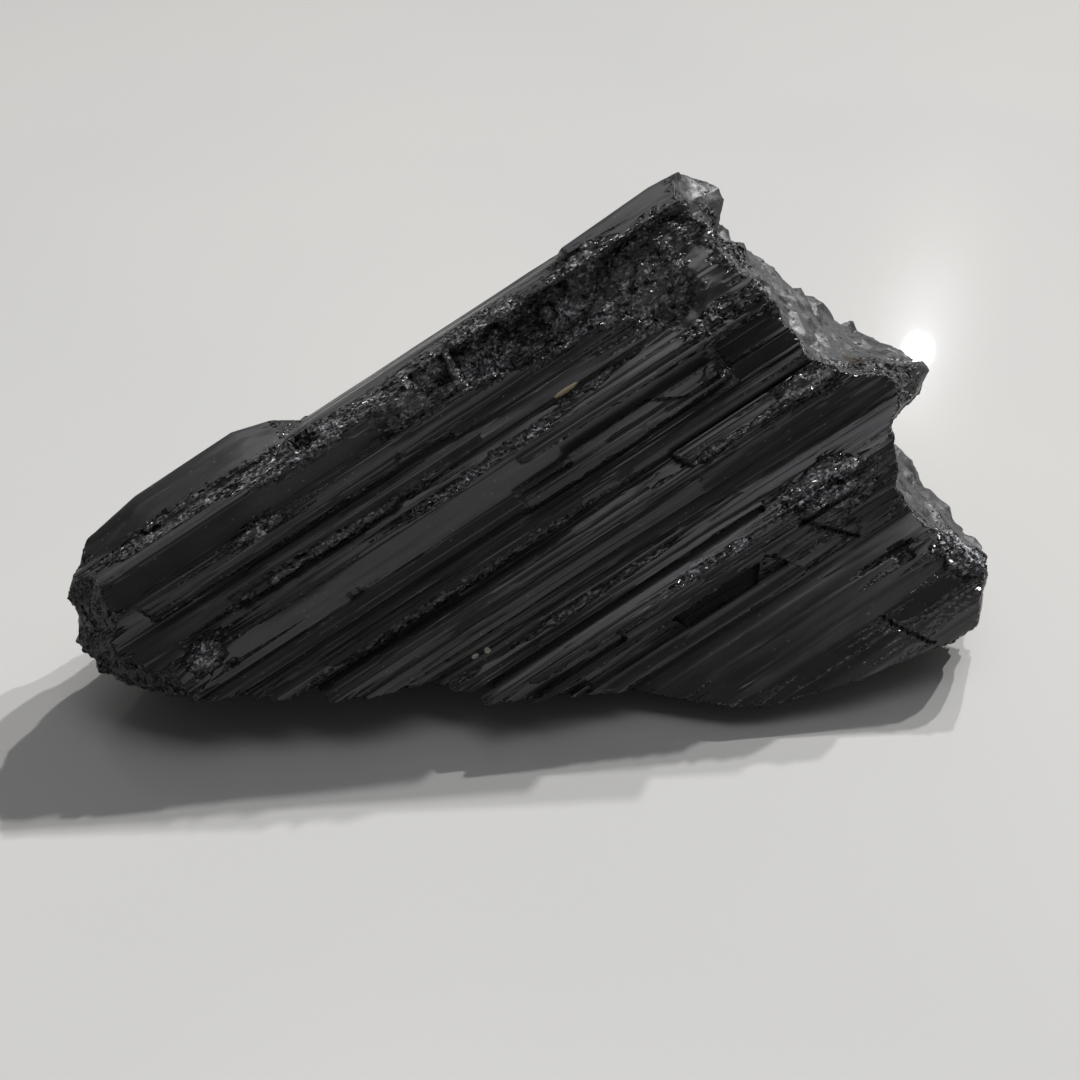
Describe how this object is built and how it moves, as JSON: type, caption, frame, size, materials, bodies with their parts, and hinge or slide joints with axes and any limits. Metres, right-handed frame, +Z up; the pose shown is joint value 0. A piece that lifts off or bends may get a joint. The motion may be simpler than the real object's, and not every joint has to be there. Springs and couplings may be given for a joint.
{
  "type": "tourmaline crystal",
  "caption": "Rough black tourmaline: a bundle of parallel striated columns with broken ends, lying on a rough underside.",
  "frame": {"origin": "centre of the bounding box's bottom, on the plane the piece lies on", "axes": "+X along the longest extent, towards the broad upper end; +Z up; the striated front faces -Y and upwards"},
  "size_m": [0.1178, 0.0746, 0.0492],
  "materials": {
    "tourmaline": "natural black crystal faces with a glassy lustre, striated along the columns and granular on the breaks"
  },
  "bodies": {
    "root": {"tourmaline_crystal": "tourmaline"}
  },
  "joints": []
}
